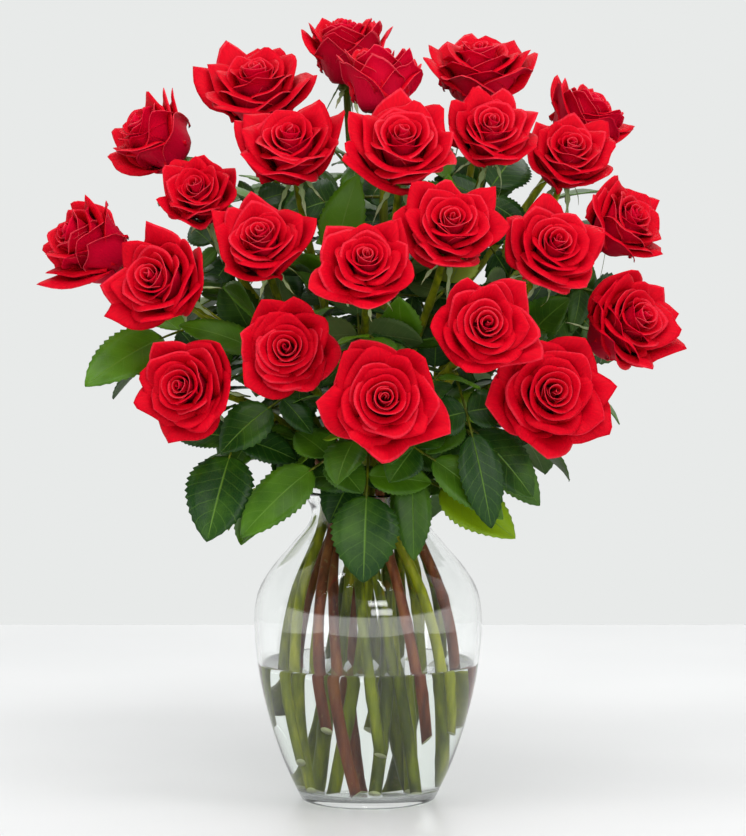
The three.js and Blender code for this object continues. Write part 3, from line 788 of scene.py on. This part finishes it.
fillers = {  # small leaves between the blooms and at the vase's lip, by where they are seen (x, z), made darker as painted shade
    "depths": (30, 0, 60, -30, 90), "reach": (18, 50), "middle": 0.6, "halfWidth": 0.46, "tone": 0.45,
    "likedGap": 36, "bestFew": 40, "mostTurned": 0.6,
    "places": [(-37, 399), (11, 403), (-108, 377), (-96, 357), (-86, 328), (-57, 346), (88, 361), (86, 416),
               (154, 340), (135, 318), (-32, 261), (-98, 300), (45, 302), (-4, 317), (-44, 230), (94, 255),
               (-24, 401), (-67, 404), (68, 414), (118, 411), (-76, 307), (128, 337), (48, 337), (-19, 300),
               (-46, 270), (35, 270), (75, 233), (-88, 337), (148, 317)],
    "lip": [(-34, 206), (-16, 207), (22, 207), (40, 205)], "lipDepths": (-62, -56, -70),
}


def placeFiller(x, z, depths):
    eye = np.array(cameraSetup["place"]) / mm
    towards = np.array([0, -1, 0.35]) / hypot(1, 0.35)
    low, high = fillers["reach"]
    for depth in depths:
        target = eye + (np.array([x, 0, z]) - eye) * (depth - eye[1]) / -eye[1]
        gaps = norm(stems - target, axis=2)
        owners, knots = np.nonzero((gaps > low) & (gaps < high) & (stems[:, :, 2] > rim + 4))
        for n in np.argsort(np.abs(gaps[owners, knots] - fillers["likedGap"]))[:fillers["bestFew"]]:
            owner, k = owners[n], knots[n]
            gap = gaps[owner, k]
            along = (target - stems[owner, k]) / gap
            if k > knotCount - 6 or abs(along @ towards) > fillers["mostTurned"]:
                continue
            length = gap / fillers["middle"]
            leaf = Leaf(owner, stems[owner, k], along, towards, length, length * fillers["halfWidth"])
            # a lower tone makes these leaves darker: painted shade between the blooms
            leaf.tone = fillers["tone"]
            if isClear(leaf, small=True):
                return True
    return False


for shown in shownLeaves:
    placeShown(*shown)
for number in range(len(roses)):
    if not any(leaf.owner == number for leaf, _ in placedLeaves):
        placeByRule(number, number % 2)
for number in range(len(roses)):
    if len(placedLeaves) < leafShape["most"]:
        placeByRule(number, 1 - number % 2)
mainLeaves = len(placedLeaves)
filled = (sum(placeFiller(*place, fillers["depths"]) for place in fillers["places"])
          + sum(placeFiller(*place, fillers["lipDepths"]) for place in fillers["lip"]))
for slot in range(leafShape["smallEach"]):
    for number in range(len(roses)):
        placeSmall(number, slot)
smaller = len(placedLeaves) - mainLeaves
report(f"{mainLeaves} large leaves and {smaller} smaller ones placed, {filled} in gaps")


# the blooms

petalCourse = {  # how the petals change from the bud (share 0) to the outermost one (share 1)
    "share": (0, 0.3, 0.5, 0.75, 1),
    "throat": (0.02, 0.2, 0.34, 0.55, 0.74),  # radius before the rim turns out, of the bloom's
    "crest": (0.76, 0.68, 0.64, 0.58, 0.5),  # height of that place, of the bloom's
    "root": (0.42, 0.25, 0.12, 0.06, 0.01),  # height of the petal's foot
    "rise": (8, 24, 45, 65, 84),  # lean outwards, in degrees, from foot to tip
    "wall": (0, 3, 8, 16, 22),
    "brim": (-8, 2, 12, 26, 38),
    "tip": (6, 30, 54, 72, 80),
    "corner": (12, 56, 96, 118, 122),  # the same at the rim's two ends
    "half": (172, 116, 92, 78, 72),  # half of the petal's width
    "rollFrom": (0.85, 0.7, 0.6, 0.56, 0.54),  # where the side margins start to roll back
    "roll": (15, 60, 92, 88, 70),
    "fall": (0.2, 0.22, 0.32, 0.46, 0.56),  # how much shorter the sides are
    "point": (0.2, 0.35, 0.55, 0.85, 1),  # and how straight they run up to the tip
    "peak": (0, 0.01, 0.03, 0.07, 0.1),  # how far the tip is drawn out
    "wave": (0.1, 0.5, 0.9, 1.8, 2.6),  # unevenness of the rim, in mm
}
petalSet = {
    "count": 28, "grid": (20, 11), "bud": 0.3, "budGrid": (17, 6), "turn": 137.5, "turnStray": 0.3,
    "thick": 0.3, "crowd": 0.88, "uneven": 7, "coreWide": 0.24, "coreTall": 0.23, "coreHeight": 0.25,
}
fullerBlooms = {  # wider and taller than the rest
    1: (1.1, 1.25), 2: (1.14, 1.3), 3: (1.14, 1.05), 4: (1.12, 1.1), 5: (1.1, 1.05), 6: (1.05, 1.05),
    8: (1.05, 1.1), 10: (1.12, 1.25), 13: (1.12, 1.35), 14: (1.06, 1.1), 20: (1.1, 1.25), 24: (1.06, 1),
}


def petalSurface(share, bloom, rng, turn, across, along):
    # middle surface of one petal, in mm in the bloom's own frame
    def about(spread):
        return rng.uniform(-spread, spread)

    key = {name: float(np.interp(share, petalCourse["share"], row)) for name, row in petalCourse.items()}
    u = np.linspace(-1, 1, across + 1)[:, None]
    fine = 1 - (1 - np.linspace(0, 1, along * 4 + 1))**1.25
    v = fine[None]
    edge = np.abs(u)
    stray = mix(3, petalSet["uneven"], share)
    lean = {name: radians(key[name] + about(stray)) for name in ("rise", "wall", "brim", "tip", "corner")}
    lean["wall"] *= bloom.opened
    lean["brim"] *= bloom.opened
    lean["tip"] *= mix(1, bloom.opened, 0.7)
    tip = mix(lean["tip"], lean["corner"], smooth((edge - 0.04) / 0.6))
    bend = np.where(v < 0.35, mix(lean["rise"], lean["wall"], smooth(v / 0.35)),
                    np.where(v < 0.74, mix(lean["wall"], lean["brim"], smooth((v - 0.35) / 0.39)),
                             mix(lean["brim"], tip, smooth((v - 0.74) / 0.26))))
    middle = (bend[:, 1:] + bend[:, :-1]) / 2
    step = np.diff(fine)[None]
    start = np.zeros((across + 1, 1))
    outwards = np.hstack([start, np.cumsum(np.sin(middle) * step, 1)])[:, ::4]
    upwards = np.hstack([start, np.cumsum(np.cos(middle) * step, 1)])[:, ::4]
    v, bend = v[:, ::4], bend[:, ::4]
    crest = int(np.argmin(np.abs(v[0] - 0.74)))
    length = (key["crest"] - key["root"]) * bloom.height / upwards[across // 2, crest]
    length = length * (1 + about(0.06)) * (1 + about(0.05))
    throat = key["throat"] * bloom.radius * mix(1, bloom.opened, 0.25) * (1 + about(0.02))
    foot = max(0.3, throat - outwards[across // 2, crest] * length)
    off = np.abs(u - about(0.15) * (1 - edge))
    reach = (1 - key["fall"] * (key["point"] * off + (1 - key["point"]) * off**2.6)
             + key["peak"] * np.exp(-off / 0.13) * smooth((v - 0.6) / 0.4)
             - rng.uniform(0, 0.06) * share * np.exp(-((u - about(0.7)) / 0.13)**2) * v**4)
    r = foot + outwards * length * reach
    z = key["root"] * bloom.height + upwards * length * reach
    begin = key["rollFrom"] + about(0.06)
    roll = radians(key["roll"]) * smooth((v - 0.42) / 0.5) * np.clip((edge - begin) / (1 - begin), 0, 1)
    roll = np.maximum(roll, 1e-4)
    half = radians(key["half"]) * (1 + about(0.1))
    wide = half * (0.66 + 0.34 * smooth(v / 0.5)) * np.maximum(r, 1)
    margin = np.clip(edge - begin, 0, 1) * wide
    sideways = np.minimum(edge, begin) * wide + margin * np.sin(roll) / roll
    back = margin * (1 - np.cos(roll)) / roll
    angle = turn + np.sign(u) * sideways / np.maximum(r, 1)
    r = r + back * np.cos(bend) + mix(0.7, 2.2, share) * u * smooth(v / 0.3)
    z = z - back * np.sin(bend)
    phase, beat = rng.uniform(0, 6.28), rng.uniform(1.3, 2.4)
    wave = key["wave"] * rng.uniform(0.5, 1)
    r = r + wave * np.sin(beat * pi * u + phase) * v**2 + 0.3 * wave * np.sin(9 * u + 2 * phase) * v**3
    z = (z + 0.8 * wave * np.sin(1.4 * beat * pi * u + 2.3 * phase) * v**3
         + 0.22 * wave * np.sin(13 * u + 3 * phase) * v**4)
    return np.stack([r * np.cos(angle), r * np.sin(angle), z], 2)


def makeBloom(index):
    bloom = blooms[index]
    press = pressOf(index)
    rng = random.Random(40 + index)
    bm = bmesh.new()
    uv = bm.loops.layers.uv.new("UVMap")
    tone = bm.faces.layers.float.new("petalTone")
    core = bmesh.ops.create_uvsphere(bm, u_segments=12, v_segments=8, radius=1)["verts"]  # closes the middle
    wide, tall = petalSet["coreWide"] * bloom.radius, petalSet["coreTall"] * bloom.height
    points = np.array([v.co for v in core]) * [wide, wide, tall]
    points[:, 2] += petalSet["coreHeight"] * bloom.height
    placeVerts(core, bloom.outward(points))
    # the middle takes the darkest colour of the ramp, that of the petals' foot: painted shade
    for face in bm.faces:
        for loop in face.loops:
            loop[uv].uv = (0.5, 0.04)
    turn = rng.uniform(0, 6.28)
    wider, taller = fullerBlooms.get(index + 1, (1, 1))
    for k in range(petalSet["count"]):
        share = (k / (petalSet["count"] - 1))**petalSet["crowd"]
        across, along = petalSet["budGrid" if share < petalSet["bud"] else "grid"]
        surface = petalSurface(share, bloom, rng, turn, across, along)
        before = len(bm.faces)
        verts, i, j = addGrid(bm, across, along)
        points = press(surface[i, j] * [wider, wider, taller])
        points[:, 2] = np.maximum(points[:, 2], 0.5)
        placeVerts(verts, bloom.outward(points))
        bm.faces.ensure_lookup_table()
        shade = rng.random()
        for face in bm.faces[before:]:
            face[tone] = shade
        turn += radians(petalSet["turn"]) + rng.uniform(-petalSet["turnStray"], petalSet["turnStray"])
    name = f"rose_{index + 1:02d}"
    piece = newPiece(name, bm, [petalBack, petalFace], f"bloom_{index + 1:02d}")
    thick = piece.modifiers.new("petalThickness", "SOLIDIFY")
    thick.thickness = petalSet["thick"] * mm
    thick.offset = 0
    thick.material_offset = 1


for number in range(len(roses)):
    makeBloom(number)
report("blooms")


# stems with their hips, sepals, thorns and leaves

def sections(points):
    tangents = np.gradient(points, axis=0)
    tangents /= norm(tangents, axis=1)[:, None]
    reference = np.array([0.31, 0.95, 0.07])
    right = np.cross(reference, tangents)
    right /= norm(right, axis=1)[:, None]
    return tangents, right, np.cross(tangents, right)


def addTube(bm, points, radii, sides, slant=0.0, facing=0.0):
    tangents, right, up = sections(points)
    verts, i, j = addGrid(bm, sides, len(points) - 1)
    angle = 2 * pi * i / sides
    cosine, sine = np.cos(angle)[:, None], np.sin(angle)[:, None]
    spread = right[j] * cosine + up[j] * sine
    raised = slant * np.cos(angle - facing)[:, None] * (j == 0)[:, None]  # the cut end, on a slant
    place = points[j] + spread * radii[j][:, None] + tangents[j] * raised
    placeVerts(verts, place)
    faces = facesOf(verts)
    bmesh.ops.remove_doubles(bm, verts=verts, dist=1e-6)
    return faces


def closeEnds(bm):
    rims = [edge for edge in bm.edges if edge.is_boundary]
    return bmesh.ops.holes_fill(bm, edges=rims, sides=0)["faces"]


leaflet = {"grid": (6, 28), "smallGrid": (4, 18), "small": 0.8, "thick": 0.45, "toothDepth": 0.045,
           "cup": 0.2, "quilt": 0.35, "ripple": 0.9}


def addLeaflet(bm, leaf, root, aim, length, halfWidth, rng, tone):
    # one toothed leaflet, laid in the leaf's own surface
    small = leaf.length < leaflet["small"] * leafShape["length"]
    spans, rows = leaflet["smallGrid" if small else "grid"]
    verts, i, j = addGrid(bm, spans, rows)
    u = i / spans * 2 - 1
    s = j / rows
    tooth = np.where(j % 2 == 1, 1.0, -1.0)
    s = np.clip(s + 0.35 / rows * (tooth > 0) * np.abs(u), 0, 1)
    width = halfWidth * 2.6 * np.clip(s, 0.002, 1)**0.6 * np.clip(1 - s, 0.002, 1)**0.8
    width *= 1 + leaflet["toothDepth"] * tooth * (np.abs(u) > 0.99)
    x, y = u * width, s * length
    aim = unit(np.array(aim))
    flat = np.array(root) + np.outer(y, aim) + np.outer(x, [aim[1], -aim[0]])
    vein = np.abs(np.sin(pi * (s * 8 - np.abs(u) * 1.7)))
    inner = np.abs(u) * (1 - np.abs(u)) * 4
    phase = rng.uniform(0, 6.28)
    lift = (leaflet["cup"] * np.abs(x) + leaflet["quilt"] * vein * inner
            + leaflet["ripple"] * np.sin(7 * s + phase + 2 * np.sign(u)) * np.abs(u)**2
            - rng.uniform(1, 5) * s**2 * length / 45)
    points = leaf.point(flat[:, 0] / leaf.halfWidth, flat[:, 1] / leaf.length, lift)
    placeVerts(verts, points)
    faces = facesOf(verts)
    # leaves set between the blooms have a lower tone, which darkens them: painted shade
    shade = rng.random() * leaf.tone
    for face in faces:
        face.normal_update()
        face.material_index = 2
        face[tone] = shade
    for vert in verts:
        vert.normal_update()
    for face in thicken(bm, faces, leaflet["thick"]):
        face.material_index = 3
        face[tone] = shade


def addLeaf(bm, leaf, rng, tone):
    scale, wide = leaf.length, leaf.halfWidth
    stalk = leaf.point(np.zeros(9), np.linspace(0, 0.47, 9))
    for face in addTube(bm, stalk, np.linspace(1.25, 0.7, 9), 6):
        face.material_index = 0
    addLeaflet(bm, leaf, (0, 0.45 * scale), (0, 1), 0.55 * scale, 0.52 * wide, rng, tone)
    for side in (-1, 1):
        addLeaflet(bm, leaf, (side * 0.02 * wide, 0.31 * scale), (side, 0.02), 0.98 * wide,
                   0.125 * scale, rng, tone)


sepalShape = {"grid": (4, 14), "length": (24, 31), "halfWidth": 2.5, "tip": 0.22,
              "droop": (0.6, 1.5), "curl": 3.5, "thick": 0.5}


def addSepal(bm, bloom, press, turn, droop, rng):
    across, along = sepalShape["grid"]
    verts, i, j = addGrid(bm, across, along)
    u, v = i / across * 2 - 1, j / along
    length = rng.uniform(*sepalShape["length"])
    ragged = 1 + 0.5 * np.sin(23 * v + 3 * u) * (v > 0.35) * (np.abs(u) > 0.9)
    half = sepalShape["halfWidth"] * (1 - v)**0.8 * ragged + sepalShape["tip"]
    bend = droop * (0.25 + v)
    out = 4.6 + length * 0.62 * np.sin(np.clip(bend, 0, 2.6)) * v * 0.9
    down = -1.4 - length * v * (0.25 + 0.62 * droop * v)
    curlUp = sepalShape["curl"] * rng.random() * v**4
    radial = np.array([cos(turn), sin(turn), 0])
    sideways = np.array([-sin(turn), cos(turn), 0])
    points = (np.outer(out, radial) + np.outer(u * half + 0.8 * np.sin(5 * v), sideways)
              + np.outer(down + curlUp + 0.5 * u * u, [0, 0, 1]))
    placeVerts(verts, bloom.outward(press(points)))
    faces = facesOf(verts)
    for face in faces + thicken(bm, faces, sepalShape["thick"]):
        face.material_index = 1


thornShape = {"from": 24, "every": 3, "chance": 0.55, "length": (2.4, 4.4), "radius": 1.1, "point": 0.08,
              "sides": 7, "sunk": 0.4}


def addThorn(bm, place, outwards, upwards, length):
    down = unit(outwards - 0.35 * upwards)
    matrix = Vector((0, 0, 1)).rotation_difference(Vector(down)).to_matrix().to_4x4()
    matrix.translation = Vector((place + down * length * 0.4) * mm)
    bmesh.ops.create_cone(bm, cap_ends=True, segments=thornShape["sides"], radius1=thornShape["radius"] * mm,
                          radius2=thornShape["point"] * mm, depth=length * mm, matrix=matrix)


def roomInside(points):
    # how far points inside the vase are from its floor and from its wall
    z = points[:, 2]
    slope = (radiusAt(z + 1) - radiusAt(z - 1)) / 2
    wall = (radiusAt(z) - vaseShape["wall"] - np.hypot(points[:, 0], points[:, 1])) / np.hypot(1, slope)
    return np.minimum(z - vaseShape["floor"], wall).min()


def footOf(line, facing):
    # a stem's foot, moved along the stem until its slanted cut rests on the glass
    tangent = unit(line[1] - line[0])
    _, right, up = sections(line)
    turns = np.linspace(0, 2 * pi, 20, endpoint=False)
    edge = (stemShape["footRadius"] * (np.outer(np.cos(turns), right[0]) + np.outer(np.sin(turns), up[0]))
            + stemShape["cut"] * np.outer(np.cos(turns - facing), tangent))
    near, far = -12.0, 24.0
    while far - near > 0.01:
        drop = (near + far) / 2
        if roomInside(line[0] - tangent * drop + edge) > 0.5:
            near = drop
        else:
            far = drop
    return line[0] - tangent * near


hipProfile = [(-7.2, 2.7), (-6.2, 3.6), (-5, 5.2), (-3.6, 6.1), (-2, 6.1), (-0.7, 5.5), (-0.1, 4.6)]
woodyStems = {4: 0.8, 9: 0.7, 11: 0.9, 16: 0.95, 18: 0.75, 21: 0.85}  # how brown, by index
bark = {"young": 0.08, "greenFrom": 150, "fade": 190, "knotEvery": 7, "knot": (0.2, 0.55)}


def makeStem(index):
    bloom = blooms[index]
    press = pressOf(index)
    rng = random.Random(300 + index)
    line = stems[index]
    _, right, up = sections(line)
    hipPoints = [bloom.base + bloom.axis * h for h, _ in hipProfile]
    facing = radians((0, -80, -110)[index % 3])  # which way the slanted cut looks
    points = np.vstack([footOf(line, facing), line[1:], hipPoints])
    knots = np.zeros(len(stemRadii))
    for k in range(3 + rng.randrange(4), len(knots) - 4, bark["knotEvery"]):
        knots[k] = rng.uniform(*bark["knot"])
    radii = np.concatenate([stemRadii + knots, [r for _, r in hipProfile]])
    bm = bmesh.new()
    bm.loops.layers.uv.new("UVMap")
    woody = bm.faces.layers.float.new("woody")
    cutFace = bm.faces.layers.float.new("cutFace")
    stemTone = bm.faces.layers.float.new("stemTone")
    tone = bm.faces.layers.float.new("leafTone")
    for face in addTube(bm, points, radii, stemShape["sides"], stemShape["cut"], facing):
        height = face.calc_center_median().z / mm
        old = float(1 - smooth((height - bark["greenFrom"]) / bark["fade"]))
        face[woody] = woodyStems.get(index, bark["young"]) * old + 0.1 * rng.random()
        face[stemTone] = index * 0.37 % 1
    for face in closeEnds(bm):
        face[cutFace] = 1.0
    for i in range(5):
        turn = (i + 0.3 * rng.random()) / 5 * 2 * pi
        addSepal(bm, bloom, press, turn, rng.uniform(*sepalShape["droop"]), rng)
    for k in range(thornShape["from"], len(line) - 5, thornShape["every"]):
        if rng.random() < thornShape["chance"]:
            angle = rng.uniform(0, 6.28)
            outwards = right[k] * cos(angle) + up[k] * sin(angle)
            length = rng.uniform(*thornShape["length"])
            root = line[k] + outwards * (stemRadii[k] - thornShape["sunk"])
            addThorn(bm, root, outwards, line[k + 1] - line[k], length)
    for leaf, _ in placedLeaves:
        if leaf.owner == index:
            addLeaf(bm, leaf, rng, tone)
    closeEnds(bm)
    name = f"leafyStem_{index + 1:02d}"
    newPiece(name, bm, [stemBark, sepalGreen, leafFace, leafUnder], f"stem_{index + 1:02d}")


for number in range(len(roses)):
    makeStem(number)
report("stems and leaves")


# floor, world and light

studio = {"floorHalf": 0.95, "floorBack": 0.876, "wallBehind": (0.807, 0.823, 0.815),
          "below": (0.75, 0.75, 0.75), "windows": (2.5, 2.5, 2.5), "ceiling": (0.2, 0.2, 0.2)}

bm = bmesh.new()
bmesh.ops.create_grid(bm, x_segments=1, y_segments=1, size=1)
for vert in bm.verts:
    y = studio["floorBack"] if vert.co.y > 0 else -studio["floorHalf"]
    vert.co = (copysign(studio["floorHalf"], vert.co.x), y, 0)
floor = meshObject("paleFloor", bm, [floorFinish()])

room = Finish("studioRoom", bpy.data.worlds)
direction = room.node("ShaderNodeTexCoord", output="Generated")
# both run from 0 to 1: from the front to the back, and from straight down to straight up
depth = room.axis(direction, 1) * 0.5 + 0.5
height = room.axis(direction, 2) * 0.5 + 0.5
inFront = room.ramp(height, (0.42, studio["below"]), (0.44, studio["windows"]),
                    (0.575, studio["windows"]), (0.59, studio["ceiling"]))
behind = room.fade(depth, 0.42, 0.64)
sky = room.blend(behind, inFront, colour(*studio["wallBehind"]))
shell = room.node("ShaderNodeBackground", inputs={"Color": sky, "Strength": 1.0})
room.node("ShaderNodeOutputWorld", inputs={"Surface": shell})
scene.world = room.material

lights = [  # name, place, aim, size, power
    ("topSoftbox", (0, -0.72, 1.75), (0, -0.05, 0.17), (2.8, 0.42), 24),
    ("keySoftbox", (0.34, -0.99, 1.91), (0, 0, 0.2), (0.75, 0.42), 6),
    ("middleSoftbox", (0.34, -1.75, 1.17), (0, 0, 0.2), (0.65, 0.3), 5),
    ("lowSoftbox", (0.5, -2.0, 0.72), (0, 0, 0.2), (0.8, 0.3), 5),
    ("backSoftbox", (0, 1.25, 1.5), (0, 0.55, 0), (2.6, 0.6), 16),
]
for name, place, aim, size, power in lights:
    lamp = bpy.data.lights.new(name, "AREA")
    lamp.shape = "RECTANGLE"
    lamp.size, lamp.size_y = size
    lamp.energy = power
    addObject(name, lamp, place, aim).visible_camera = False
report("studio")
